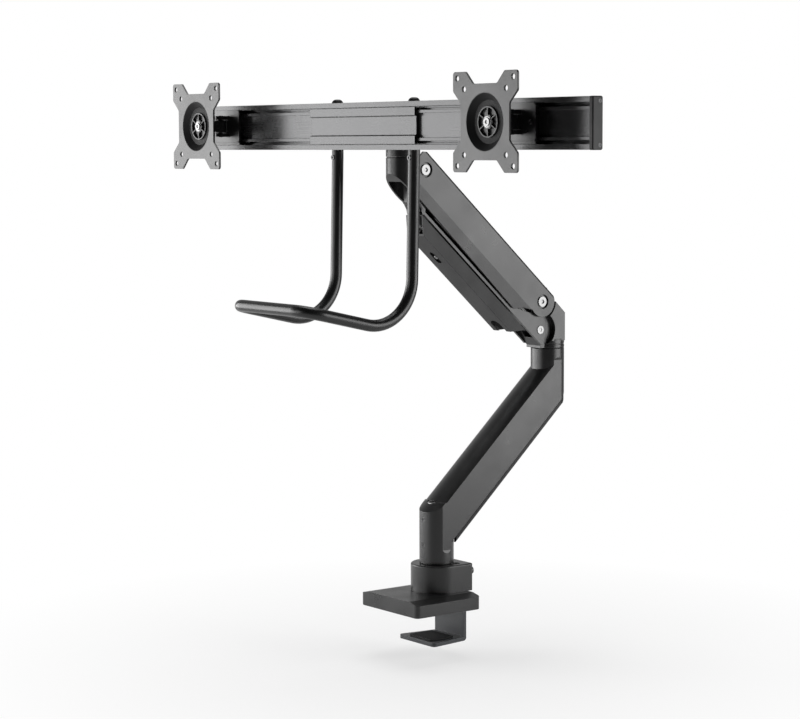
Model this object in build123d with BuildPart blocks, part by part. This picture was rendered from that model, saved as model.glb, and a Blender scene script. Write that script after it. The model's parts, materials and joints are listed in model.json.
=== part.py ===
from build123d import *
import math
import os

# Dual monitor arm with a desk clamp. Millimetres, +Z up, X along the crossbar, the user at -Y.
# The origin is on the desk's surface, under the column's axis.

# Driving dimensions: places
ELBOW_Y = 191.0          # elbow axis behind the column axis
SPLIT_Z = 330.0          # joint face between lower arm and elbow
SHOULDER = (163.0, 393.8)  # shoulder pivot, (y, z)
ARM_LENGTH = 264.8       # shoulder pivot to head pivot
ARM_RISE = 42.0          # upper arm's slope at rest, degrees
LINK_DROP = 38.0         # lower link's pivots below the arm's
HEAD_Y = -56.0           # head's swivel axis
HEAD_SPLIT_Z = 587.0     # joint face between head and crossbar
BAR_FRONT_Y = -120.0
BAR_DEPTH = 14.5
BAR_Z = 626.3
BAR_HEIGHT = 59.4
BAR_HALF = 428.5
PLATE_X = 307.6          # screen centres either side of the middle
PLATE_Z = 628.4
PLATE_FRONT_Y = -171.3

# Driving dimensions: sections
COLUMN_R = 22.6
CASTING_HALF = 21.6      # half the width across the castings' flats
ARM_HALF = 23.0          # half the width of the upper arm
HEAD_R = 20.0
HANDLE_R = 7.5
HANDLE_X = 81.0
GAP = 0.3                # between bodies that pass each other
FIT = 0.05               # radial running clearance of a pin

os.makedirs("parts", exist_ok=True)

rise = math.radians(ARM_RISE)
arm_dir = (0, -math.cos(rise), math.sin(rise))
shoulder = (0, SHOULDER[0], SHOULDER[1])
arm_plane = Plane(origin=shoulder, x_dir=arm_dir, z_dir=(-1, 0, 0))
head_pivot = (SHOULDER[0] - ARM_LENGTH * math.cos(rise), SHOULDER[1] + ARM_LENGTH * math.sin(rise))
link_rear = (SHOULDER[0], SHOULDER[1] - LINK_DROP)
link_front = (head_pivot[0], head_pivot[1] - LINK_DROP)
link_plane = Plane(origin=(0, *link_rear), x_dir=arm_dir, z_dir=(-1, 0, 0))


def save(builder, name):
    """Label a finished piece and write its file."""
    builder.part.label = name
    export_step(builder.part, f"parts/{name}.step")


def side_plane(point, x):
    """A plane facing +X through a (y, z) point, at the given x."""
    return Plane(origin=(x, point[0], point[1]), x_dir=(0, 1, 0), z_dir=(1, 0, 0))


def flat_plane(x, y, z):
    """A horizontal plane through a point."""
    return Plane(origin=(x, y, z), x_dir=(1, 0, 0), z_dir=(0, 0, 1))


def front_plane(x, y, z):
    """A plane facing the user, through a point: its x runs along +X, its y up."""
    return Plane(origin=(x, y, z), x_dir=(1, 0, 0), z_dir=(0, -1, 0))


def disc(plane, radius, length, mode=Mode.ADD):
    """A round bar from a plane along its normal."""
    with BuildSketch(plane) as section:
        Circle(radius)
    extrude(section.sketch, amount=length, mode=mode)


def hexagon(plane, across_flats, length, mode=Mode.SUBTRACT):
    """A hexagonal socket or head from a plane along its normal."""
    with BuildSketch(plane) as section:
        RegularPolygon(across_flats / 2, 6, major_radius=False)
    extrude(section.sketch, amount=length, mode=mode)


def slab(plane, half_width, points, mode=Mode.ADD):
    """A polygon in a side plane, extruded by half_width to both sides."""
    with BuildSketch(plane) as section:
        with BuildLine():
            Polyline(*points, close=True)
        make_face()
    extrude(section.sketch, amount=half_width, both=True, mode=mode)


# ---------------------------------------------------------------- desk clamp
PLATE_HALF_X = 60.2
PLATE_Y0 = -79.2
PLATE_Y1 = 26.0
PLATE_SIDE_Z = 17.2
PLATE_TOP_Z = 21.0
BEVEL_X = 17.0
HOUSING_R = 34.0
HOUSING_REAR_Y = 34.5
HOUSING_TOP_Z = 57.0
POST_R = 12.0
BRACKET_HALF = 30.4
BRACKET_Y0 = 21.0
BRACKET_T = 4.5
JAW_TOP_Z = -40.6
JAW_T = 5.0
JAW_FRONT_Y = -34.5
JAW_FRONT_HALF = 38.0
PLATE_MID_Y = (PLATE_Y0 + PLATE_Y1) / 2
PAD_Y = -33.2
SCREW_X = 22.0           # clamp screw's axis
SCREW_Y = 13.5
SCREW_R = 4.0
NUT_WIDTH = 13.6
NUT_POCKET = (NUT_WIDTH + 2 * GAP + 0.4, 17.0)

with BuildPart() as base_plate:
    with BuildSketch(Plane.XY.offset(1.0)):
        with Locations((0, PLATE_MID_Y)):
            RectangleRounded(2 * PLATE_HALF_X, PLATE_Y1 - PLATE_Y0, 6)
    extrude(amount=PLATE_TOP_Z - 1.0)
    chamfer(base_plate.faces().sort_by(Axis.Z)[0].edges(), 0.6)
    with BuildSketch(Plane.XZ.offset(-PLATE_Y1 - 1)):
        for side in (-1, 1):
            with BuildLine():
                Polyline((side * (PLATE_HALF_X + 1), PLATE_SIDE_Z - 0.2), (side * (PLATE_HALF_X + 1), 30),
                         (side * (PLATE_HALF_X - BEVEL_X), 30), (side * (PLATE_HALF_X - BEVEL_X), PLATE_TOP_Z),
                         close=True)
            make_face()
    extrude(amount=PLATE_Y1 - PLATE_Y0 + 2, mode=Mode.SUBTRACT)
    # notch for the jaw bracket and its nut, open at the rear
    with BuildSketch(Plane.XY):
        with Locations((0, 26)):
            Rectangle(2 * (BRACKET_HALF + GAP), 2 * (26 - BRACKET_Y0 + GAP))
        with Locations((SCREW_X, SCREW_Y + 1.5)):
            Rectangle(*NUT_POCKET)
    extrude(amount=30, mode=Mode.SUBTRACT)
    disc(Plane.XY, 5.2, 12, Mode.SUBTRACT)
    with BuildSketch(Plane.XY):
        with Locations((0, PAD_Y)):
            Rectangle(90, 80)
    extrude(amount=2.0, mode=Mode.SUBTRACT)
save(base_plate, "base_plate")

with BuildPart() as base_pad:
    with BuildSketch(Plane.XY):
        with Locations((0, PAD_Y)):
            RectangleRounded(89.6, 79.6, 4)
    extrude(amount=2.0)
save(base_pad, "base_pad")

with BuildPart() as column_housing:
    with BuildSketch(Plane.XY.offset(PLATE_TOP_Z)):
        Circle(HOUSING_R)
        with Locations((0, HOUSING_REAR_Y / 2)):
            Rectangle(2 * HOUSING_R, HOUSING_REAR_Y)
    extrude(amount=HOUSING_TOP_Z - PLATE_TOP_Z)
    fillet(column_housing.edges().filter_by(Axis.Z).group_by(Axis.Y)[-1], 3.5)
    fillet(column_housing.faces().sort_by(Axis.Z)[-1].edges(), 2.0)
    # space for the jaw bracket, its nut and the clamp screw
    with BuildSketch(Plane.XY.offset(PLATE_TOP_Z)):
        with Locations((0, 26)):
            Rectangle(2 * (BRACKET_HALF + GAP), 2 * (26 - BRACKET_Y0 + GAP))
        with Locations((SCREW_X, SCREW_Y + 1.5)):
            Rectangle(*NUT_POCKET)
    extrude(amount=30, mode=Mode.SUBTRACT)
    disc(flat_plane(SCREW_X, SCREW_Y, 50), SCREW_R + FIT, 4, Mode.SUBTRACT)
    disc(flat_plane(SCREW_X, SCREW_Y, 53), 6.2, 8, Mode.SUBTRACT)
    disc(flat_plane(0, 0, 53), POST_R, 6, Mode.SUBTRACT)
    # bores for the cover's screws
    for side in (-1, 1):
        disc(Plane(origin=(side * 25, 20, 46), x_dir=(1, 0, 0), z_dir=(0, 1, 0)), 2.0, 20, Mode.SUBTRACT)
save(column_housing, "column_housing")

with BuildPart() as column_post:
    disc(flat_plane(0, 0, 53), POST_R, 85)
    chamfer(column_post.faces().sort_by(Axis.Z)[-1].edges(), 1.5)
save(column_post, "column_post")

with BuildPart() as column_washer:
    disc(flat_plane(0, 0, HOUSING_TOP_Z), 20.5, 0.8)
    disc(flat_plane(0, 0, HOUSING_TOP_Z), POST_R, 1, Mode.SUBTRACT)
save(column_washer, "column_washer")

with BuildPart() as housing_cover:
    with BuildSketch(Plane.XZ.offset(-HOUSING_REAR_Y)):
        with Locations((0, 39)):
            RectangleRounded(58, 30, 3)
    extrude(amount=-1.5)
    for side in (-1, 1):
        rear = Plane(origin=(side * 25, HOUSING_REAR_Y - 1, 46), x_dir=(1, 0, 0), z_dir=(0, 1, 0))
        disc(rear, 2.0, 4, Mode.SUBTRACT)
save(housing_cover, "housing_cover")

with BuildPart() as housing_screws:
    for side in (-1, 1):
        shank = Plane(origin=(side * 25, 28, 46), x_dir=(1, 0, 0), z_dir=(0, 1, 0))
        disc(shank, 2.0, 8)
        head = Plane(origin=(side * 25, HOUSING_REAR_Y + 1.5, 46), x_dir=(1, 0, 0), z_dir=(0, 1, 0))
        disc(head, 5.0, 2.6)
        hexagon(head.offset(1.2), 4, 3)
save(housing_screws, "housing_screws")

with BuildPart() as clamp_screw:
    disc(flat_plane(SCREW_X, SCREW_Y, 4), SCREW_R, 49.2)
    disc(flat_plane(SCREW_X, SCREW_Y, 53.2), 5.9, 3)
    hexagon(flat_plane(SCREW_X, SCREW_Y, 54), 5, 4)
save(clamp_screw, "clamp_screw")

with BuildPart() as jaw_bracket:
    with BuildSketch(Plane.XY.offset(JAW_TOP_Z - JAW_T)):
        with BuildLine():
            Polyline((-BRACKET_HALF, BRACKET_Y0 + BRACKET_T), (BRACKET_HALF, BRACKET_Y0 + BRACKET_T),
                     (BRACKET_HALF, BRACKET_Y0), (JAW_FRONT_HALF, JAW_FRONT_Y),
                     (-JAW_FRONT_HALF, JAW_FRONT_Y), (-BRACKET_HALF, BRACKET_Y0), close=True)
        make_face()
    extrude(amount=JAW_T)
    fillet(jaw_bracket.edges().filter_by(Axis.Z).group_by(Axis.Y)[0], 5)
    with BuildSketch(Plane.XY.offset(JAW_TOP_Z - JAW_T)):
        with Locations((0, BRACKET_Y0 + BRACKET_T / 2)):
            Rectangle(2 * BRACKET_HALF, BRACKET_T)
    extrude(amount=25.0 - JAW_TOP_Z + JAW_T)
    fillet(jaw_bracket.edges().filter_by(Axis.X).group_by(Axis.Z)[0].sort_by(Axis.Y)[-1], 4.2)
save(jaw_bracket, "jaw_bracket")

with BuildPart() as jaw_pad:
    with BuildSketch(Plane.XY.offset(JAW_TOP_Z)):
        with Locations((0, -9)):
            RectangleRounded(48, 38, 4)
    extrude(amount=1.6)
save(jaw_pad, "jaw_pad")

with BuildPart() as jaw_nut:
    with BuildSketch(Plane.XY.offset(15.2)):
        with Locations((SCREW_X, (SCREW_Y - 6 + BRACKET_Y0) / 2)):
            Rectangle(NUT_WIDTH, BRACKET_Y0 - SCREW_Y + 6)
    extrude(amount=9.6)
    disc(flat_plane(SCREW_X, SCREW_Y, 15), SCREW_R + FIT, 12, Mode.SUBTRACT)
save(jaw_nut, "jaw_nut")

# ---------------------------------------------------------------- lower arm
BEAM_SLOPE = 42.6
BEAM_START = (-7.4, 131.1)   # (y, z) of the beam's upper side edge at the column
BEAM_DEPTH = 44.0
CROWN = 6.5
COVER_DEPTH = 6.6
COLUMN_Z0 = 58.1
slope = math.radians(BEAM_SLOPE)
beam_plane = Plane(origin=(0, *BEAM_START), x_dir=(1, 0, 0), z_dir=(0, -math.cos(slope), -math.sin(slope)))


def beam_section(depth, half):
    """The beam's section across its slope: crowned on top, flat sides, down to the given depth."""
    with BuildLine() as outline:
        ThreePointArc((-half, 0), (0, CROWN), (half, 0))
        Polyline((half, 0), (half, -depth), (-half, -depth), (-half, 0))
    make_face(outline.line.edges())


def stadium(radius):
    """The plan of the beam: round about the column axis and about the elbow axis."""
    with Locations((0, ELBOW_Y / 2)):
        Rectangle(2 * radius, ELBOW_Y)
    Circle(radius)
    with Locations((0, ELBOW_Y)):
        Circle(radius)


with BuildPart() as column_blank:
    disc(flat_plane(0, 0, COLUMN_Z0), COLUMN_R, 80)
    with BuildSketch(beam_plane.offset(-290)):
        beam_section(160, COLUMN_R + 2)
    extrude(amount=460, mode=Mode.INTERSECT)

with BuildPart() as lower_casting:
    with BuildSketch(beam_plane.offset(-290)):
        beam_section(BEAM_DEPTH, CASTING_HALF)
    extrude(amount=340)
    with BuildSketch(Plane.XY.offset(40)):
        stadium(COLUMN_R)
    extrude(amount=SPLIT_Z - 0.3 - 40, mode=Mode.INTERSECT)
    add(column_blank.part)
    disc(flat_plane(0, ELBOW_Y, 280), COLUMN_R, SPLIT_Z - 0.3 - 280)
    # machined flats down both sides, running out in a scallop at each end
    for side in (-1, 1):
        with BuildSketch(Plane.XZ.offset(30)):
            with BuildLine():
                Polyline((side * CASTING_HALF, 76), (side * (COLUMN_R + 0.4), 70.5), (side * 30, 70.5),
                         (side * 30, 319), (side * (COLUMN_R + 0.4), 319), (side * CASTING_HALF, 314), close=True)
            make_face()
        extrude(amount=-260, mode=Mode.SUBTRACT)
    fillet(lower_casting.faces().sort_by(Axis.Z)[-1].edges(), 0.8)
    disc(flat_plane(0, 0, COLUMN_Z0 - 1), POST_R + FIT, 82, Mode.SUBTRACT)
    disc(flat_plane(0, ELBOW_Y, 286), 8 + FIT, 60, Mode.SUBTRACT)
    for z in (82.3, 116.1):
        disc(front_plane(0, -COLUMN_R + 2.4, z), 3.1, 5, Mode.SUBTRACT)
save(lower_casting, "lower_casting")

with BuildPart() as cable_cover:
    with BuildSketch(beam_plane.offset(-290)):
        with BuildLine():
            half = CASTING_HALF - 0.6
            low = BEAM_DEPTH + COVER_DEPTH
            Polyline((-half, -BEAM_DEPTH - 0.8), (half, -BEAM_DEPTH - 0.8), (half, -low + 2),
                     (half - 2, -low), (2 - half, -low), (-half, -low + 2), close=True)
        make_face()
    extrude(amount=340)
    with BuildSketch(Plane.XY.offset(40)):
        stadium(CASTING_HALF + 0.5)
        with Locations((0, -7)):
            Rectangle(60, 47, mode=Mode.SUBTRACT)
    extrude(amount=320, mode=Mode.INTERSECT)
    # a tongue that clips against the casting's underside
    with BuildSketch(beam_plane.offset(-220)):
        with Locations((0, -BEAM_DEPTH - 0.4)):
            Rectangle(26, 0.8)
    extrude(amount=180)
    disc(flat_plane(0, 0, 40), COLUMN_R + 0.4, 200, Mode.SUBTRACT)
save(cable_cover, "cable_cover")

with BuildPart() as column_set_screws:
    for z in (82.3, 116.1):
        disc(front_plane(0, -COLUMN_R + 2.4, z), 3.0, 2.1)
        hexagon(front_plane(0, -COLUMN_R + 1.0, z), 2.5, 4)
save(column_set_screws, "column_set_screws")

# ---------------------------------------------------------------- elbow
EAR_IN = 9.0
EAR_OUT = 14.0
KNUCKLE_Z0 = SPLIT_Z + 0.6
RING_TOP = 342.0
ANCHOR_DROP = 18.0       # spring's anchor pin below the shoulder pivot
ANCHOR_R = 3.5

with BuildPart() as knuckle:
    disc(flat_plane(0, ELBOW_Y, KNUCKLE_Z0), COLUMN_R, RING_TOP - KNUCKLE_Z0)
    with BuildSketch(flat_plane(0, ELBOW_Y, 334.5)):
        Circle(COLUMN_R + 1)
        Circle(COLUMN_R - 0.7, mode=Mode.SUBTRACT)
    extrude(amount=1.6, mode=Mode.SUBTRACT)
    # rear wall
    slab(Plane.YZ, CASTING_HALF, [(176, 340), (203.4, 340), (203.4, 377.6), (181, 398.6), (174, 398.6)])
    # the two ears that carry the pivots, on a short chin
    slab(Plane.YZ, EAR_OUT, [(158, 346), (166, 334), (166, 330.6), (190, 330.6), (190, 385), (170, 402.5),
                             (156.5, 402.5), (152.5, 385), (153.5, 352)])
    for x in (-ARM_HALF - 2, EAR_OUT + 0.1):
        disc(side_plane(SHOULDER, x), 24.0, ARM_HALF + 1.9 - EAR_OUT, Mode.SUBTRACT)
        disc(side_plane(link_rear, x), 23.0, ARM_HALF + 1.9 - EAR_OUT, Mode.SUBTRACT)
    # slot for the spring's rod
    slab(Plane.YZ, EAR_IN, [(140, 345), (184, 345), (184, 410), (140, 410)], Mode.SUBTRACT)
    for pivot in (SHOULDER, link_rear):
        disc(side_plane(pivot, -30), 5 + FIT, 60, Mode.SUBTRACT)
    disc(side_plane((SHOULDER[0], SHOULDER[1] - ANCHOR_DROP), -EAR_OUT), ANCHOR_R, 2 * EAR_OUT, Mode.SUBTRACT)
    disc(flat_plane(0, ELBOW_Y, 325), 8, 14, Mode.SUBTRACT)
save(knuckle, "knuckle")

with BuildPart() as elbow_spindle:
    disc(flat_plane(0, ELBOW_Y, 287), 8, 52)
    chamfer(elbow_spindle.faces().sort_by(Axis.Z)[0].edges(), 1)
save(elbow_spindle, "elbow_spindle")

with BuildPart() as elbow_washer:
    disc(flat_plane(0, ELBOW_Y, SPLIT_Z - 0.1), COLUMN_R - 1.0, 0.7)
    disc(flat_plane(0, ELBOW_Y, SPLIT_Z - 0.1), 8, 1, Mode.SUBTRACT)
save(elbow_washer, "elbow_washer")

with BuildPart() as spring_anchor:
    disc(side_plane((SHOULDER[0], SHOULDER[1] - ANCHOR_DROP), -EAR_OUT), ANCHOR_R, 2 * EAR_OUT)
save(spring_anchor, "spring_anchor")

# ---------------------------------------------------------------- upper arm
ARM_TOP = 19.0
ARM_WALL = 2.5
FACET = -20.0            # lower edge of the arm's flat side
ARM_END_R = 20.5
BEVEL_END = 17.6         # half width where the long bevels would meet the depth of 60
INNER_HALF = 20.5
ARM_FLOOR_REAR = -38.0
ARM_FLOOR_FRONT = -33.5
SPRING_N = -15.3
section_plane = Plane(origin=shoulder, x_dir=(1, 0, 0), z_dir=arm_dir)


with BuildPart() as upper_cover:
    with BuildSketch(arm_plane):
        with BuildLine():
            Polyline((0, ARM_TOP), (277.5, ARM_TOP), (284, ARM_TOP - 5), (284, 4), (262, ARM_FLOOR_FRONT + 4),
                     (258, ARM_FLOOR_FRONT), (33, ARM_FLOOR_REAR), (28, ARM_FLOOR_REAR + 3), (20, -27), (6, -19),
                     (0, -19), close=True)
        make_face()
        Circle(ARM_END_R)
    extrude(amount=ARM_HALF, both=True)
    for side in (-1, 1):
        # long bevel under each side, and a broken top edge
        with BuildSketch(section_plane.offset(-40)):
            with BuildLine():
                Polyline((side * ARM_HALF, FACET), (side * 30, FACET), (side * 30, -60),
                         (side * BEVEL_END, -60), close=True)
            make_face()
            with BuildLine():
                Polyline((side * ARM_HALF, ARM_TOP - 3.2), (side * 30, ARM_TOP - 3.2), (side * 30, ARM_TOP + 4),
                         (side * (ARM_HALF - 3.2), ARM_TOP + 4), (side * (ARM_HALF - 3.2), ARM_TOP),
                         (side * (ARM_HALF - 0.9), ARM_TOP - 0.9), close=True)
            make_face()
        extrude(amount=350, mode=Mode.SUBTRACT)
    # hollow, open underneath and at both ends
    with BuildSketch(section_plane.offset(-30)):
        with BuildLine():
            Polyline((-INNER_HALF, ARM_TOP - ARM_WALL), (INNER_HALF, ARM_TOP - ARM_WALL),
                     (INNER_HALF, FACET + 0.3), (BEVEL_END - 0.8, -60), (0.8 - BEVEL_END, -60),
                     (-INNER_HALF, FACET + 0.3), close=True)
        make_face()
    extrude(amount=340, mode=Mode.SUBTRACT)
    # the top wall stops short of the knuckle and of the head
    for start, end in ((-40, 4), (ARM_LENGTH - 19, ARM_LENGTH + 40)):
        with BuildSketch(section_plane.offset(start)):
            Rectangle(41, 90)
        extrude(amount=end - start, mode=Mode.SUBTRACT)
    # bosses for the pivots
    for a in (0, ARM_LENGTH):
        for side in (-1, 1):
            boss = Plane(origin=arm_plane.from_local_coords((a, 0, 0)), x_dir=(0, 1, 0), z_dir=(side, 0, 0))
            disc(boss.offset(EAR_OUT + 0.6), 10.5, 20.6 - EAR_OUT - 0.6)
            disc(boss.offset(20.6), 9.6, 4, Mode.SUBTRACT)
            disc(boss, 5, 25, Mode.SUBTRACT)
    # cross pin of the gas spring
    disc(Plane(origin=arm_plane.from_local_coords((214, SPRING_N, 0)), x_dir=(0, 1, 0), z_dir=(1, 0, 0)).offset(-21),
         3, 42, Mode.SUBTRACT)
save(upper_cover, "upper_cover")


def pivot_pin(point, inner, seat, radius, head_r, head_t, socket):
    """A pivot pin with a round head in each side's counterbore, and a hexagonal socket in each head."""
    disc(side_plane(point, -seat), radius, 2 * seat)
    for side in (-1, 1):
        face = Plane(origin=(side * seat, point[0], point[1]), x_dir=(0, 1, 0), z_dir=(side, 0, 0))
        disc(face, head_r, head_t)
        hexagon(face.offset(inner), socket, 5)


for pin_name, pin_point in (("shoulder_pin", SHOULDER), ("head_pin", head_pivot)):
    with BuildPart() as pin:
        pivot_pin(pin_point, 0.4, 20.6, 5, 6.9, 1.9, 5)
    save(pin, pin_name)

with BuildPart() as spring_cylinder:
    with BuildSketch(Plane(origin=arm_plane.from_local_coords((48, SPRING_N, 0)), x_dir=(1, 0, 0), z_dir=arm_dir)):
        Circle(10.5)
    extrude(amount=150)
    fillet(spring_cylinder.edges().filter_by(GeomType.CIRCLE), 1.5)
    with BuildSketch(Plane(origin=arm_plane.from_local_coords((196, SPRING_N, 0)), x_dir=(1, 0, 0), z_dir=arm_dir)):
        Circle(5)
    extrude(amount=24)
    with BuildSketch(Plane(origin=arm_plane.from_local_coords((40, SPRING_N, 0)), x_dir=(1, 0, 0), z_dir=arm_dir)):
        Circle(4.5 + FIT)
    extrude(amount=120, mode=Mode.SUBTRACT)
    disc(Plane(origin=arm_plane.from_local_coords((214, SPRING_N, 0)), x_dir=(0, 1, 0), z_dir=(1, 0, 0)).offset(-15),
         3, 30, Mode.SUBTRACT)
save(spring_cylinder, "spring_cylinder")

with BuildPart() as spring_pin:
    disc(Plane(origin=arm_plane.from_local_coords((214, SPRING_N, 0)), x_dir=(0, 1, 0), z_dir=(1, 0, 0)).offset(-20.8),
         3, 41.6)
save(spring_pin, "spring_pin")

with BuildPart() as spring_rod:
    anchor_a = -ANCHOR_DROP * math.sin(rise)
    with BuildSketch(Plane(origin=arm_plane.from_local_coords((anchor_a + 8.6, SPRING_N, 0)), x_dir=(1, 0, 0),
                           z_dir=arm_dir)):
        Circle(4.5)
    extrude(amount=95)
    eye = Plane(origin=arm_plane.from_local_coords((anchor_a, SPRING_N, 0)), x_dir=(0, 1, 0), z_dir=(1, 0, 0))
    disc(eye.offset(-6), 9.6, 12)
    disc(eye.offset(-7), 7.6, 14, Mode.SUBTRACT)
save(spring_rod, "spring_rod")

# ---------------------------------------------------------------- lower link
LINK_IN = 14.4
LINK_OUT = 17.9
LINK_TOP = -10.6         # link's top face below its own pivot line
LINK_BOTTOM = -14.2
COVER_HALF = 17.5
LINK_EAR_R = 6.5
link_section = Plane(origin=(0, *link_rear), x_dir=(1, 0, 0), z_dir=arm_dir)

with BuildPart() as lower_link:
    for side in (-1, 1):
        cheek = Plane(origin=(side * (LINK_IN + LINK_OUT) / 2, *link_rear), x_dir=arm_dir, z_dir=(-1, 0, 0))
        with BuildSketch(cheek):
            with BuildLine():
                Polyline((-18.3, -10.6), (-14, LINK_BOTTOM), (251.6, LINK_BOTTOM), (257, -10.5), (ARM_LENGTH + 3, -7),
                         (ARM_LENGTH + 7, 2), (ARM_LENGTH - 3, 7.5), (ARM_LENGTH - 12, LINK_TOP), (64, LINK_TOP),
                         (6.0, 16.4), close=True)
            make_face()
            Circle(LINK_EAR_R)
            with Locations((ARM_LENGTH, 0)):
                Circle(8.2)
        extrude(amount=(LINK_OUT - LINK_IN) / 2, both=True)
    with BuildSketch(link_section.offset(28)):
        with Locations((0, (LINK_TOP + LINK_BOTTOM) / 2)):
            Rectangle(2 * LINK_OUT, LINK_TOP - LINK_BOTTOM)
    extrude(amount=222)
    for a in (0, ARM_LENGTH):
        hole = Plane(origin=link_plane.from_local_coords((a, 0, 0)), x_dir=(0, 1, 0), z_dir=(1, 0, 0))
        disc(hole.offset(-30), 5, 60, Mode.SUBTRACT)
save(lower_link, "lower_link")

COVER_TOP = -16.4        # link cover, below the link's pivot line
COVER_BOTTOM = -34.6
COVER_WALL = 2.0
COVER_REAR = 19.4
COVER_FRONT = 252.5
COVER_SLOPE = 19.0       # both ends lean by this much over the cover's height
SCREW_A = 189.4          # cover's screw along the link
SEAT_N = COVER_BOTTOM + 2.4

with BuildPart() as link_cover:
    slab(link_plane, COVER_HALF, [(COVER_REAR, COVER_TOP), (COVER_REAR + COVER_SLOPE, COVER_BOTTOM),
                                  (COVER_FRONT - COVER_SLOPE, COVER_BOTTOM), (COVER_FRONT, COVER_TOP)])
    slab(link_plane, COVER_HALF - COVER_WALL, [(0, COVER_TOP + 1), (0, COVER_BOTTOM + COVER_WALL),
                                               (ARM_LENGTH, COVER_BOTTOM + COVER_WALL),
                                               (ARM_LENGTH, COVER_TOP + 1)], Mode.SUBTRACT)
    # slots in the bottom: the cable's way out at the rear, and round the screw
    bottom_plane = Plane(origin=link_plane.from_local_coords((0, COVER_BOTTOM - 1, 0)), x_dir=arm_dir,
                         z_dir=link_plane.y_dir)
    with BuildSketch(bottom_plane):
        with Locations((COVER_REAR + COVER_SLOPE, 0)):
            SlotOverall(44, 18)
        with Locations((SCREW_A, 0)):
            SlotOverall(22, 9.6)
    extrude(amount=COVER_WALL + 1, mode=Mode.SUBTRACT)
    # two ribs up to the link, and the screw's seat between them
    for side in (-1, 1):
        rib = Plane(origin=link_plane.from_local_coords((0, 0, side * 12)), x_dir=arm_dir, z_dir=(-1, 0, 0))
        slab(rib, 0.8, [(70, COVER_BOTTOM + 1), (70, LINK_BOTTOM), (206, LINK_BOTTOM), (206, COVER_BOTTOM + 1)])
    slab(link_plane, 12, [(SCREW_A - 13, SEAT_N), (SCREW_A - 13, SEAT_N + 1.6), (SCREW_A + 13, SEAT_N + 1.6),
                          (SCREW_A + 13, SEAT_N)])
    seat = Plane(origin=link_plane.from_local_coords((SCREW_A, SEAT_N, 0)), x_dir=arm_dir, z_dir=link_plane.y_dir)
    disc(seat.offset(-1), 1.6 + FIT, 4, Mode.SUBTRACT)
save(link_cover, "link_cover")

with BuildPart() as link_cover_screw:
    disc(seat.offset(-2.0), 2.9, 2.0)
    disc(seat, 1.6, LINK_BOTTOM - SEAT_N)
    hexagon(seat.offset(-2.1), 2.5, 1.2)
save(link_cover_screw, "link_cover_screw")

for pin_name, pin_point, pin_r in (("link_rear_pin", link_rear, 5), ("link_front_pin", link_front, 4.6)):
    with BuildPart() as pin:
        pivot_pin(pin_point, 0.2, LINK_OUT, pin_r, 5.6, 0.8, 4)
    save(pin, pin_name)

TENSION_A = 218.0        # block of the tension screw, inside the link's cover
TENSION_N = -24.0
TENSION_R = 3.2
BLOCK_BOTTOM = -31.0

with BuildPart() as tension_screw:
    front = Plane(origin=link_plane.from_local_coords((TENSION_A - 4, TENSION_N, 0)), x_dir=(1, 0, 0), z_dir=arm_dir)
    disc(front, TENSION_R, 19)
    disc(front.offset(15.5), 4.4, 4.5)
    hexagon(front.offset(17.5), 4, 4)
save(tension_screw, "tension_screw")

with BuildPart() as tension_block:
    with BuildSketch(link_section.offset(TENSION_A)):
        with Locations((0, (LINK_BOTTOM + BLOCK_BOTTOM) / 2)):
            Rectangle(20, LINK_BOTTOM - BLOCK_BOTTOM)
        with Locations((0, TENSION_N)):
            Circle(TENSION_R + FIT, mode=Mode.SUBTRACT)
    extrude(amount=11)
save(tension_block, "tension_block")

# ---------------------------------------------------------------- head
HEAD_BORE_R = 17.0
HEAD_BORE_BACK_Y = -43.5
HEAD_BORE_TOP_Z = 556.0

with BuildPart() as head_casting:
    disc(flat_plane(0, HEAD_Y, 520), HEAD_R, HEAD_SPLIT_Z - 0.3 - 520)
    # the barrel's lower end is cut off at a slant, from the front down to the rear
    slab(Plane.YZ, 30, [(-94, 586), (-36, 521.6), (-30, 521.6), (-30, 510), (-94, 510)], Mode.SUBTRACT)
    slab(Plane.YZ, EAR_OUT, [(-56, 545), (-44, 531), (-40, 526), (-33, 524), (-26, 530), (-24.5, 540),
                             (-24.5, 575), (-29, 581), (-56, 581)])
    slab(Plane.YZ, 9, [(-33, 517.5), (-40, 521), (-44, 531), (-33, 531)])
    # hollow behind the slanted opening
    with BuildSketch(flat_plane(0, 0, 515)):
        with Locations((0, HEAD_Y)):
            Circle(HEAD_BORE_R)
        with Locations((0, HEAD_BORE_BACK_Y + 20)):
            Rectangle(60, 40, mode=Mode.SUBTRACT)
    extrude(amount=HEAD_BORE_TOP_Z - 515, mode=Mode.SUBTRACT)
    for pivot, radius in ((head_pivot, 5 + FIT), (link_front, 5.2)):
        disc(side_plane(pivot, -30), radius, 60, Mode.SUBTRACT)
    for x in (-ARM_HALF, EAR_OUT + 0.1):
        disc(side_plane(head_pivot, x), 11.2, ARM_HALF - EAR_OUT - 0.1, Mode.SUBTRACT)
        disc(side_plane(link_front, x), 9.2, ARM_HALF - EAR_OUT - 0.1, Mode.SUBTRACT)
    fillet(head_casting.faces().sort_by(Axis.Z)[-1].edges(), 0.8)
    disc(flat_plane(0, HEAD_Y, 560), 7, 40, Mode.SUBTRACT)
save(head_casting, "head_casting")

with BuildPart() as head_spindle:
    disc(flat_plane(0, HEAD_Y, 560), 7, 66)
    chamfer(head_spindle.faces().sort_by(Axis.Z)[-1].edges(), 1)
save(head_spindle, "head_spindle")

with BuildPart() as head_washer:
    disc(flat_plane(0, HEAD_Y, HEAD_SPLIT_Z - 0.3), HEAD_R - 1, 0.6)
    disc(flat_plane(0, HEAD_Y, HEAD_SPLIT_Z - 1), 7, 3, Mode.SUBTRACT)
save(head_washer, "head_washer")

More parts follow.
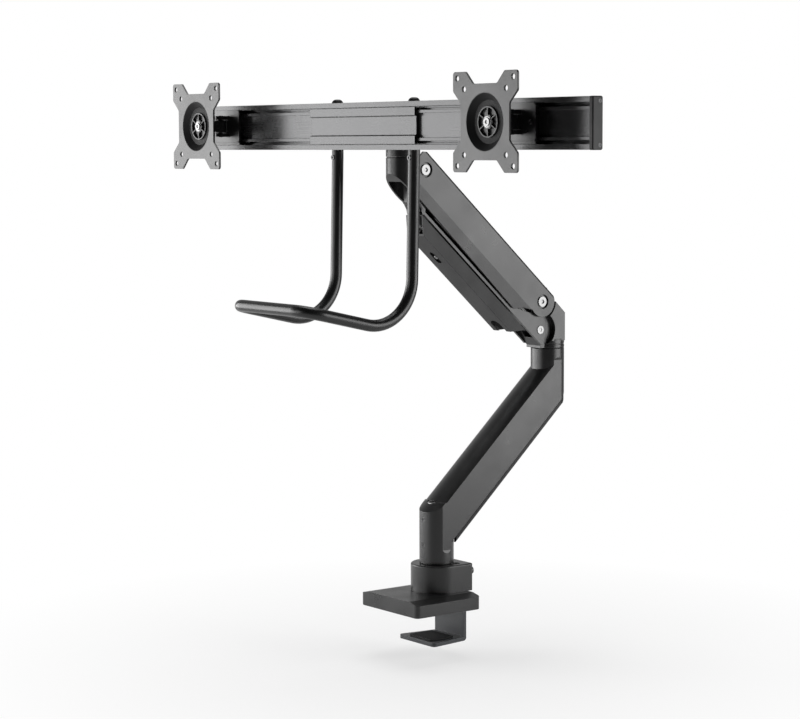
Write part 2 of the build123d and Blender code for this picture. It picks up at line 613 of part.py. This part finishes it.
# ---------------------------------------------------------------- crossbar
BAR_BACK_Y = BAR_FRONT_Y + BAR_DEPTH
LIP = 6.3                # height of the rail's outer lips
SLOT = 4.6               # height of the slots the carriages hook into
STEP = 3.6               # height of the steps beside the web
COVER_X = 111.2
CAP_X = 5.5
bar_half = BAR_HEIGHT / 2
rail_plane = Plane(origin=(0, BAR_FRONT_Y, BAR_Z), x_dir=(0, 1, 0), z_dir=(1, 0, 0))

with BuildPart() as bar_bracket:
    disc(flat_plane(0, HEAD_Y, HEAD_SPLIT_Z + 0.6), HEAD_R, 60)
    with BuildSketch(Plane.XY.offset(602)):
        with Locations((0, (HEAD_Y + BAR_BACK_Y) / 2)):
            Rectangle(38, HEAD_Y - BAR_BACK_Y)
    extrude(amount=44)
    fillet(bar_bracket.faces().sort_by(Axis.Z)[0].edges(), 0.8)
    disc(flat_plane(0, HEAD_Y, 580), 7 + FIT, 47, Mode.SUBTRACT)
save(bar_bracket, "bar_bracket")

with BuildPart() as rail:
    with BuildSketch(rail_plane):
        with BuildLine():
            outline = []
            for sign in (1, -1):
                half_run = [(0, bar_half), (0, bar_half - LIP), (2.2, bar_half - LIP), (2.2, bar_half - LIP + 1.4),
                            (9.5, bar_half - LIP + 1.4), (9.5, bar_half - LIP - SLOT),
                            (3.5, bar_half - LIP - SLOT), (3.5, bar_half - LIP - SLOT - STEP),
                            (6.5, bar_half - LIP - SLOT - STEP)]
                run = [(y, sign * z) for y, z in half_run]
                outline += run if sign == 1 else run[::-1]
            Polyline(*outline, (BAR_DEPTH, -bar_half), (BAR_DEPTH, bar_half), close=True)
        make_face()
        for z in (-12, 12):
            with Locations((10.8, z)):
                Rectangle(3.4, 18, mode=Mode.SUBTRACT)
    extrude(amount=BAR_HALF, both=True)
save(rail, "rail")

with BuildPart() as centre_cover:
    with BuildSketch(rail_plane):
        with BuildLine():
            Polyline((3.2, -22.5), (-0.4, -22.5), (-0.4, -12.5), (2.2, -11.3), (2.2, 11.3), (-0.4, 12.5),
                     (-0.4, 22.5), (3.2, 22.5), (3.2, 15.0), (6.3, 14.7), (6.3, -14.7), (3.2, -15.0), close=True)
        make_face()
    extrude(amount=COVER_X, both=True)
save(centre_cover, "centre_cover")

for side_name, side in (("left", -1), ("right", 1)):
    with BuildPart() as end_cap:
        bar_end = (side * BAR_HALF, BAR_FRONT_Y + BAR_DEPTH / 2, BAR_Z)
        with BuildSketch(Plane(origin=bar_end, x_dir=(0, 1, 0), z_dir=(side, 0, 0))):
            RectangleRounded(BAR_DEPTH + 1.0, BAR_HEIGHT + 0.6, 2.5)
        extrude(amount=CAP_X)
        fillet(end_cap.faces().sort_by(Axis.X)[-1 if side > 0 else 0].edges(), 1.4)
        for z in (-24.5, 24.5):
            hole = Plane(origin=(side * BAR_HALF, BAR_BACK_Y - 3.8, BAR_Z + z), x_dir=(0, 1, 0), z_dir=(side, 0, 0))
            disc(hole.offset(CAP_X - 1.5), 2.5, 4, Mode.SUBTRACT)
    save(end_cap, f"end_cap_{side_name}")
    with BuildPart() as end_cap_screws:
        for z in (-24.5, 24.5):
            hole = Plane(origin=(side * BAR_HALF, BAR_BACK_Y - 3.8, BAR_Z + z), x_dir=(0, 1, 0), z_dir=(side, 0, 0))
            disc(hole.offset(CAP_X - 1.5), 2.4, 1.4)
            hexagon(hole.offset(CAP_X - 0.8), 2, 2)
    save(end_cap_screws, f"end_cap_screws_{side_name}")

# bent-tube handle: the legs lean forward a little below the bar
HANDLE_Y = BAR_BACK_Y + HANDLE_R
HANDLE_TOP = 654.0
HANDLE_CORNER = (-103.0, 367.5)
HANDLE_GRIP = (-261.0, 403.2)
BEND_R = 57.0
GRIP_BEND_R = 25.0
handle_points = [(HANDLE_X, HANDLE_Y, HANDLE_TOP), (HANDLE_X, HANDLE_Y, 588), (HANDLE_X, *HANDLE_CORNER),
                 (HANDLE_X, *HANDLE_GRIP), (-HANDLE_X, *HANDLE_GRIP), (-HANDLE_X, *HANDLE_CORNER),
                 (-HANDLE_X, HANDLE_Y, 588), (-HANDLE_X, HANDLE_Y, HANDLE_TOP)]

with BuildPart() as handle:
    with BuildLine() as handle_path:
        FilletPolyline(*handle_points, radius=[200, BEND_R, GRIP_BEND_R, GRIP_BEND_R, BEND_R, 200])
    with BuildSketch(flat_plane(*handle_points[0])):
        Circle(HANDLE_R)
        Circle(HANDLE_R - 2, mode=Mode.SUBTRACT)
    sweep(path=handle_path.line)
    for side in (-1, 1):
        disc(front_plane(side * HANDLE_X, HANDLE_Y - HANDLE_R + 0.6, 586.9), 3.2, 5, Mode.SUBTRACT)
save(handle, "handle")

with BuildPart() as handle_caps:
    for side in (-1, 1):
        disc(flat_plane(side * HANDLE_X, HANDLE_Y, HANDLE_TOP), HANDLE_R, 7.2)
    fillet(handle_caps.faces().sort_by(Axis.Z)[-2:].edges(), 5.8)
save(handle_caps, "handle_caps")

with BuildPart() as handle_screws:
    for side in (-1, 1):
        face = front_plane(side * HANDLE_X, HANDLE_Y - HANDLE_R + 0.6, 586.9)
        disc(face, 3.2, 1.8)
        hexagon(face.offset(0.9), 2.5, 2)
save(handle_screws, "handle_screws")

# ---------------------------------------------------------------- screen heads
TILT_Y = -144.0
SWIVEL_Y = -131.5
CARRIAGE_T = 3.0
LUG_Z = 11.5             # carriage's lugs above and below the screen's centre
LUG_T = 5.0
SWIVEL_R = 7.4
SWIVEL_PIN_R = 3.0
LOCK_X = 24.0            # carriage's lock screw from its middle
HUB_Y = -156.0           # rear face of the tilt head's disc
HUB_T = 5.6
DISH_R = 34.5
DISH_FLOOR_R = 25.0
DISH_DEPTH = 6.0
DISH_T = 2.4
INSERT_R = 18.0
SPOKE_FACE = 4.1         # insert's spokes behind the plate's front
PLATE_HALF = 57.5
PLATE_T = 2.6
NOTCH_OUT = 35.0
NOTCH_IN = 21.5
WAIST = 43.5
VESA_LARGE = 50.0
VESA_SMALL = 37.5
VESA_HOLE_R = 3.4
SPIGOT_R = 6.0
HUB_BOSS_R = 9.0


# the plate's outline through one corner, clockwise, as (x, z)
plate_corner = [(NOTCH_IN, WAIST), (NOTCH_OUT, PLATE_HALF), (PLATE_HALF, PLATE_HALF), (PLATE_HALF, NOTCH_OUT),
                (WAIST, NOTCH_IN)]

for side_name, side in (("left", -1), ("right", 1)):
    x0 = side * PLATE_X
    lock_face = front_plane(x0 + side * LOCK_X, BAR_FRONT_Y - 2, PLATE_Z)
    with BuildPart() as carriage:
        # plate over the rail, its two T-shaped hooks, and the swivel lugs
        with BuildSketch(front_plane(x0, BAR_FRONT_Y - 0.4, PLATE_Z)):
            RectangleRounded(66, 44, 5)
        extrude(amount=CARRIAGE_T)
        for sign in (-1, 1):
            hook_z = BAR_Z + sign * (bar_half - LIP - 2.0)
            with BuildSketch(front_plane(x0, BAR_FRONT_Y + 3, hook_z)):
                Rectangle(60, 3.2)
            extrude(amount=4)
            with BuildSketch(front_plane(x0, BAR_FRONT_Y + 9, hook_z + sign * 0.4)):
                Rectangle(60, 5.2)
            extrude(amount=6.4)
            lug_z = PLATE_Z + sign * LUG_Z
            with BuildSketch(front_plane(x0, BAR_FRONT_Y - 2, lug_z)):
                Rectangle(16, LUG_T)
            extrude(amount=BAR_FRONT_Y - 2 - SWIVEL_Y)
            disc(flat_plane(x0, SWIVEL_Y, lug_z - LUG_T / 2), 8, LUG_T)
        disc(flat_plane(x0, SWIVEL_Y, PLATE_Z - 20), SWIVEL_PIN_R + FIT, 40, Mode.SUBTRACT)
        disc(lock_face, 3.0, 3, Mode.SUBTRACT)
    save(carriage, f"carriage_{side_name}")

    with BuildPart() as carriage_screw:
        disc(lock_face, 2.9, 2.6)
        hexagon(lock_face.offset(1.4), 3, 3)
    save(carriage_screw, f"carriage_screw_{side_name}")

    with BuildPart() as swivel_block:
        disc(flat_plane(x0, SWIVEL_Y, PLATE_Z - 8.6), SWIVEL_R, 17.2)
        with BuildSketch(front_plane(x0, SWIVEL_Y, PLATE_Z)):
            Rectangle(13, 15)
        extrude(amount=SWIVEL_Y - TILT_Y)
        disc(side_plane((TILT_Y, PLATE_Z), x0 - 6.5), 7.5, 13)
        disc(flat_plane(x0, SWIVEL_Y, PLATE_Z - 14.6), SWIVEL_PIN_R, 29.2)
        disc(side_plane((TILT_Y, PLATE_Z), x0 - 12.4), SWIVEL_PIN_R, 24.8)
    save(swivel_block, f"swivel_block_{side_name}")

    with BuildPart() as tilt_head:
        disc(front_plane(x0, HUB_Y, PLATE_Z), 24, HUB_T)
        for cheek_x in (x0 - 12.4, x0 + 6.8):
            with BuildSketch(side_plane((TILT_Y, PLATE_Z), cheek_x)):
                Circle(7.5)
                with Locations(((HUB_Y - TILT_Y) / 2, 0)):
                    Rectangle(TILT_Y - HUB_Y + 1, 15)
            extrude(amount=5.6)
        disc(side_plane((TILT_Y, PLATE_Z), x0 - 20), SWIVEL_PIN_R + FIT, 40, Mode.SUBTRACT)
        disc(front_plane(x0, HUB_Y - HUB_T, PLATE_Z), SPIGOT_R, HUB_Y - HUB_T - PLATE_FRONT_Y - 4)
    save(tilt_head, f"tilt_head_{side_name}")

    with BuildPart() as vesa_plate:
        with BuildSketch(front_plane(x0, PLATE_FRONT_Y + PLATE_T, PLATE_Z)):
            with BuildLine():
                outline = []
                for turn in range(4):
                    angle = -math.radians(90 * turn)
                    outline += [(x * math.cos(angle) - z * math.sin(angle), x * math.sin(angle) + z * math.cos(angle))
                                for x, z in plate_corner]
                Polyline(*outline, close=True)
            make_face()
            Circle(DISH_R - 1.5, mode=Mode.SUBTRACT)
            for spread in (VESA_LARGE, VESA_SMALL):
                with GridLocations(2 * spread, 2 * spread, 2, 2):
                    Circle(VESA_HOLE_R, mode=Mode.SUBTRACT)
        extrude(amount=PLATE_T)
        fillet(vesa_plate.edges().filter_by(Axis.Y).filter_by(lambda e: e.geom_type == GeomType.LINE), 3.8)
        # the dished centre
        back = DISH_DEPTH + DISH_T
        with BuildSketch(Plane(origin=(x0, PLATE_FRONT_Y, PLATE_Z), x_dir=(1, 0, 0), z_dir=(0, 0, 1))):
            with BuildLine():
                Polyline((DISH_R - 1.4, 0), (DISH_R, 0), (DISH_R, PLATE_T), (DISH_R - 1.2, PLATE_T),
                         (DISH_FLOOR_R + 0.2, back), (INSERT_R, back), (INSERT_R, DISH_DEPTH),
                         (DISH_FLOOR_R, DISH_DEPTH), close=True)
            make_face()
        revolve(axis=Axis((x0, 0, PLATE_Z), (0, 1, 0)))
    save(vesa_plate, f"vesa_plate_{side_name}")

    with BuildPart() as hub_insert:
        with BuildSketch(front_plane(x0, PLATE_FRONT_Y + DISH_DEPTH + DISH_T, PLATE_Z)):
            Circle(INSERT_R)
        extrude(amount=1.2)
        with BuildSketch(front_plane(x0, PLATE_FRONT_Y + 7.3, PLATE_Z)):
            Circle(INSERT_R)
            Circle(INSERT_R - 1.6, mode=Mode.SUBTRACT)
            RegularPolygon(HUB_BOSS_R, 6)
            with PolarLocations(0, 6, start_angle=30):
                with Locations(((INSERT_R + HUB_BOSS_R) / 2 - 0.8, 0)):
                    Rectangle(INSERT_R - HUB_BOSS_R + 1.4, 1.4)
        extrude(amount=7.3 - SPOKE_FACE)
        disc(front_plane(x0, PLATE_FRONT_Y + 10, PLATE_Z), SPIGOT_R + FIT, 9, Mode.SUBTRACT)
    save(hub_insert, f"hub_insert_{side_name}")

    with BuildPart() as hub_bolt:
        bolt_seat = front_plane(x0, PLATE_FRONT_Y + 4.0, PLATE_Z)
        disc(bolt_seat, 6.7, 0.5)
        disc(bolt_seat, 5.0, 1.8)
        hexagon(bolt_seat.offset(0.8), 4, 2)
    save(hub_bolt, f"hub_bolt_{side_name}")
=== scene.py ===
import bpy
import json
import math
from mathutils import Matrix, Vector

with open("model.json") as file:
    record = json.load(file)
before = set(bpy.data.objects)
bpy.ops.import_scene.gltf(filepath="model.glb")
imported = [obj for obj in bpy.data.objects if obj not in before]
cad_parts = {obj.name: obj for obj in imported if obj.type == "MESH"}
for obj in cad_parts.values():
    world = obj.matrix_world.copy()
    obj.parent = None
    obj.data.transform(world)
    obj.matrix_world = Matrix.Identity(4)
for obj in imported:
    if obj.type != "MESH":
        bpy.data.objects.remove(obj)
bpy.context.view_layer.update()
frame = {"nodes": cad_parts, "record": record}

# Looks for the dual monitor arm. Everything is in metres, in the CAD frame: X along the crossbar,
# Y away from the user, Z up from the desk's surface.

MM = 0.001
CAMERA_PLACE = (2.29854, -1.80407, 0.60226)
CAMERA_AZIMUTH = 52.8   # degrees
CAMERA_PITCH = 5.431
CAMERA_ROLL = -0.164
CAMERA_LENS = 101.413   # mm, on a sensor 36 mm wide
FLOOR_Z = -0.064        # just under the jaw's lowest place
FLOOR_R = 1.6
SCREEN_X = 0.3076      # middle of each screen plate
SCREEN_Z = 0.6284
DISH_R = 0.033


# ---------------------------------------------------------------- camera
def make_camera():
    """The camera: a long lens, right of the user and a little above the crossbar's middle."""
    azimuth = math.radians(CAMERA_AZIMUTH)
    pitch = math.radians(CAMERA_PITCH)
    roll = math.radians(CAMERA_ROLL)
    ahead = Vector((-math.sin(azimuth) * math.cos(pitch), math.cos(azimuth) * math.cos(pitch),
                    -math.sin(pitch)))
    data = bpy.data.cameras.new("camera")
    data.sensor_width = 36
    data.lens = CAMERA_LENS
    data.clip_end = 50
    camera = bpy.data.objects.new("camera", data)
    bpy.context.scene.collection.objects.link(camera)
    turn = ahead.to_track_quat("-Z", "Y").to_matrix().to_4x4() @ Matrix.Rotation(roll, 4, "Z")
    camera.matrix_world = Matrix.Translation(CAMERA_PLACE) @ turn
    bpy.context.scene.camera = camera
    return ahead


# ---------------------------------------------------------------- node helpers
class Nodes:
    """A short way to write a node tree."""

    def __init__(self, tree):
        self.tree = tree
        tree.nodes.clear()

    def add(self, kind, values=None, **settings):
        node = self.tree.nodes.new(kind)
        for key, value in settings.items():
            setattr(node, key, value)
        for key, value in (values or {}).items():
            node.inputs[key].default_value = value
        return node

    def link(self, source, target):
        self.tree.links.new(source, target)

    def math(self, operation, a, b=None, clamp=False):
        node = self.add("ShaderNodeMath", operation=operation, use_clamp=clamp)
        for socket, value in zip(node.inputs, (a, b)):
            if value is None:
                continue
            if isinstance(value, (int, float)):
                socket.default_value = value
            else:
                self.link(value, socket)
        return node.outputs[0]

    def ramp(self, value, low, high, out_low, out_high):
        node = self.add("ShaderNodeMapRange", {"From Min": low, "From Max": high,
                                               "To Min": out_low, "To Max": out_high})
        self.link(value, node.inputs["Value"])
        return node.outputs["Result"]

    def mix(self, factor, a, b):
        node = self.add("ShaderNodeMix", data_type="RGBA")
        for socket, value in ((node.inputs[0], factor), (node.inputs[6], a), (node.inputs[7], b)):
            if isinstance(value, (int, float, tuple)):
                socket.default_value = value
            else:
                self.link(value, socket)
        return node.outputs[2]

    def noise(self, vector, scale, detail=3.0, roughness=0.5):
        node = self.add("ShaderNodeTexNoise", {"Scale": scale, "Detail": detail, "Roughness": roughness})
        self.link(vector, node.inputs["Vector"])
        return node.outputs["Fac"]


def grey(level, tint=(1, 1, 1)):
    return (level * tint[0], level * tint[1], level * tint[2], 1)


def finish_material(name, level, rough, tint=(1, 1, 1.02), metallic=0.0, specular=0.5, coat=0.0,
                    coat_rough=0.2, grain=0.00012, grain_scale=2600.0, streak=None, mottle=0.12,
                    edge=0.5, edge_width=0.0007, dull=None):
    """A dark finish with grain in its relief, uneven gloss, and edges painted lighter in the base colour:
    partly rubbed wear, partly a painted highlight.

    streak is None, or the axis (0, 1 or 2) that drawn lines run along. dull is None, or the radius of a matt
    round patch in the middle of each screen plate."""
    material = bpy.data.materials.new(name)
    material.use_nodes = True
    n = Nodes(material.node_tree)
    out = n.add("ShaderNodeOutputMaterial")
    shader = n.add("ShaderNodeBsdfPrincipled", {"Metallic": metallic, "Specular IOR Level": specular,
                                                "Coat Weight": coat, "Coat Roughness": coat_rough})
    n.link(shader.outputs[0], out.inputs[0])
    place = n.add("ShaderNodeTexCoord").outputs["Object"]

    cloud = n.noise(place, 22.0, 4.0, 0.6)
    speck = n.noise(place, grain_scale, 2.0, 0.6)
    relief = speck
    gloss = n.ramp(cloud, 0.3, 0.7, rough - 0.05, rough + 0.06)
    if streak is not None:
        stretch = [9000.0, 9000.0, 9000.0]
        stretch[streak] = 25.0
        along = n.add("ShaderNodeMapping", {"Scale": stretch})
        n.link(place, along.inputs["Vector"])
        lines = n.noise(along.outputs[0], 0.35, 3.0, 0.7)
        relief = n.math("ADD", n.math("MULTIPLY", speck, 0.3), lines)
        gloss = n.math("ADD", gloss, n.ramp(lines, 0.3, 0.7, -0.04, 0.05))
    if dull is not None:
        apart = n.add("ShaderNodeSeparateXYZ")
        n.link(place, apart.inputs[0])
        across = n.math("SUBTRACT", n.math("ABSOLUTE", apart.outputs["X"]), SCREEN_X)
        up = n.math("SUBTRACT", apart.outputs["Z"], SCREEN_Z)
        reach = n.math("SQRT", n.math("ADD", n.math("MULTIPLY", across, across), n.math("MULTIPLY", up, up)))
        inside = n.ramp(reach, dull - MM, dull + MM, 1.0, 0.0)
        n.link(n.ramp(inside, 0.0, 1.0, specular, specular * 0.22), shader.inputs["Specular IOR Level"])
        gloss = n.math("ADD", gloss, n.math("MULTIPLY", inside, 0.16))
    n.link(gloss, shader.inputs["Roughness"])

    # edges: where the rounded normal leaves the face's own, the colour is painted lighter, partly as rubbed
    # wear and partly as a painted edge highlight
    soft = n.add("ShaderNodeBevel", {"Radius": edge_width}, samples=4)
    flat = n.add("ShaderNodeNewGeometry")
    turn = n.add("ShaderNodeVectorMath", operation="DOT_PRODUCT")
    n.link(soft.outputs[0], turn.inputs[0])
    n.link(flat.outputs["Normal"], turn.inputs[1])
    edge_wear_and_highlight = n.ramp(turn.outputs["Value"], 0.985, 0.86, 0.0, 1.0)
    edge_wear_and_highlight = n.math("MULTIPLY", edge_wear_and_highlight, n.ramp(n.noise(place, 160.0, 4.0, 0.65), 0.35, 0.65, 0.35, 1.0))
    base = n.mix(n.ramp(cloud, 0.3, 0.7, 0.0, 1.0), grey(level * (1 - mottle), tint),
                 grey(level * (1 + mottle), tint))
    base = n.mix(n.math("MULTIPLY", speck, 0.35), base, grey(level * 1.5, tint))
    # painted edge highlight mixed with rubbed wear: the edges' base colour is lightened
    base = n.mix(n.math("MULTIPLY", edge_wear_and_highlight, edge, True), base, grey(min(1.0, level * 2.6 + 0.02), tint))
    n.link(base, shader.inputs["Base Color"])

    bump = n.add("ShaderNodeBump", {"Strength": 1.0, "Distance": grain})
    n.link(relief, bump.inputs["Height"])
    n.link(soft.outputs[0], bump.inputs["Normal"])
    n.link(bump.outputs[0], shader.inputs["Normal"])
    return material


def make_materials():
    """One material for each of the record's slots."""
    m = {}
    m["powder_coat"] = finish_material("powder_coat", 0.009, 0.31, specular=0.48, grain=0.00004, edge=0.35)
    m["bracket_coat"] = finish_material("bracket_coat", 0.020, 0.36, tint=(0.86, 0.96, 1.14), specular=0.5,
                                        grain=0.00004)
    m["plate_coat"] = finish_material("plate_coat", 0.010, 0.33, specular=0.42, grain=0.00003, edge=0.5,
                                      dull=DISH_R)
    m["handle_coat"] = finish_material("handle_coat", 0.009, 0.31, specular=0.42, grain=0.0000012, edge=0.0,
                                       edge_width=0.0)
    m["rail_anodised"] = finish_material("rail_anodised", 0.045, 0.24, metallic=0.65, streak=0, grain=0.00002,
                                         edge=0.8)
    m["black_plastic"] = finish_material("black_plastic", 0.009, 0.40, specular=0.20, grain=0.00006,
                                         grain_scale=1500.0, edge=0.25)
    m["hub_plastic"] = finish_material("hub_plastic", 0.012, 0.34, specular=0.36, grain=0.00004, edge=0.8)
    m["washer_plastic"] = finish_material("washer_plastic", 0.012, 0.5, specular=0.4, edge=0.1)
    m["rubber"] = finish_material("rubber", 0.012, 0.75, specular=0.3, grain=0.00015,
                                  grain_scale=1800.0, edge=0.05)
    m["black_screw"] = finish_material("black_screw", 0.05, 0.3, metallic=0.6, grain=0.00003, edge=0.9)
    m["bright_screw"] = finish_material("bright_screw", 0.19, 0.34, tint=(1, 1, 1), metallic=1.0, streak=2,
                                        grain=0.00001, mottle=0.03, edge=0.4)
    m["plain_steel"] = finish_material("plain_steel", 0.20, 0.34, tint=(1, 1, 1), metallic=1.0, streak=0,
                                       grain=0.00001, mottle=0.06, edge=0.4)
    m["spring_paint"] = finish_material("spring_paint", 0.02, 0.25, specular=0.5, coat=0.4, grain=0.00002)
    m["spring_chrome"] = finish_material("spring_chrome", 0.35, 0.14, tint=(1, 1, 1), metallic=1.0,
                                         grain=0.000004,
                                         mottle=0.02)
    return m


def dress(materials):
    """Every CAD node takes its slot's material."""
    for entry in frame["record"]["subparts"]:
        mesh = frame["nodes"][entry["node"]].data
        mesh.materials.clear()
        mesh.materials.append(materials[entry["material_slot"]])


# ---------------------------------------------------------------- stage
def make_light(name, direction, distance, size, power, aim=(0, 0, 0.35)):
    """A softbox in a direction from the aim point, facing it."""
    data = bpy.data.lights.new(name, "AREA")
    data.shape = "RECTANGLE"
    data.size, data.size_y = size
    data.energy = power
    light = bpy.data.objects.new(name, data)
    bpy.context.scene.collection.objects.link(light)
    away = Vector(direction).normalized()
    light.location = Vector(aim) + away * distance
    light.rotation_euler = (-away).to_track_quat("-Z", "Z").to_euler()
    light.visible_camera = False
    return light


def make_stage(ahead):
    """A pale floor and a pale room that is darker on the camera's side."""
    world = bpy.data.worlds.new("room")
    bpy.context.scene.world = world
    world.use_nodes = True
    n = Nodes(world.node_tree)
    out = n.add("ShaderNodeOutputWorld")
    seen = n.add("ShaderNodeBackground", {"Color": (1, 1, 1, 1), "Strength": 1.0})
    lit = n.add("ShaderNodeBackground")
    facing = n.add("ShaderNodeVectorMath", {1: Vector((ahead.x, ahead.y, 0)).normalized()},
                   operation="DOT_PRODUCT")
    n.link(n.add("ShaderNodeTexCoord").outputs["Generated"], facing.inputs[0])
    n.link(n.ramp(facing.outputs["Value"], 0.15, 0.95, 0.005, 0.7), lit.inputs["Strength"])
    rays = n.add("ShaderNodeLightPath")
    both = n.add("ShaderNodeMixShader")
    n.link(rays.outputs["Is Camera Ray"], both.inputs[0])
    n.link(lit.outputs[0], both.inputs[1])
    n.link(seen.outputs[0], both.inputs[2])
    n.link(both.outputs[0], out.inputs[0])

    # the floor, fading into the backdrop
    bpy.ops.mesh.primitive_circle_add(vertices=96, radius=FLOOR_R, fill_type="NGON",
                                      location=(0, 0, FLOOR_Z))
    floor = bpy.context.object
    floor.name = "floor"
    material = bpy.data.materials.new("floor")
    material.use_nodes = True
    n = Nodes(material.node_tree)
    out = n.add("ShaderNodeOutputMaterial")
    matt = n.add("ShaderNodeBsdfDiffuse", {"Color": (0.92, 0.92, 0.92, 1)})
    glow = n.add("ShaderNodeEmission", {"Color": (1, 1, 1, 1)})
    seen = n.add("ShaderNodeLightPath").outputs["Is Camera Ray"]
    n.link(n.ramp(seen, 0.0, 1.0, 0.9, 1.0), glow.inputs["Strength"])
    far = n.add("ShaderNodeVectorMath", operation="LENGTH")
    n.link(n.add("ShaderNodeTexCoord").outputs["Object"], far.inputs[0])
    blend = n.add("ShaderNodeMixShader")
    n.link(n.ramp(far.outputs["Value"], 0.12, 0.7, 0.6, 1.0), blend.inputs[0])
    n.link(matt.outputs[0], blend.inputs[1])
    n.link(glow.outputs[0], blend.inputs[2])
    n.link(blend.outputs[0], out.inputs[0])
    floor.data.materials.append(material)

    make_light("key", (-0.77, -0.64, -0.10), 2.2, (1.7, 2.4), 76)
    make_light("front", (-0.15, -0.99, 0.05), 2.4, (1.0, 1.6), 14)
    make_light("side", (0.78, 0.62, 0.04), 2.4, (1.5, 2.0), 50)
    make_light("top", (-0.2, 0.2, 1.0), 2.2, (1.6, 1.6), 26)


bpy.context.scene.view_settings.view_transform = "Standard"
ahead = make_camera()
dress(make_materials())
make_stage(ahead)
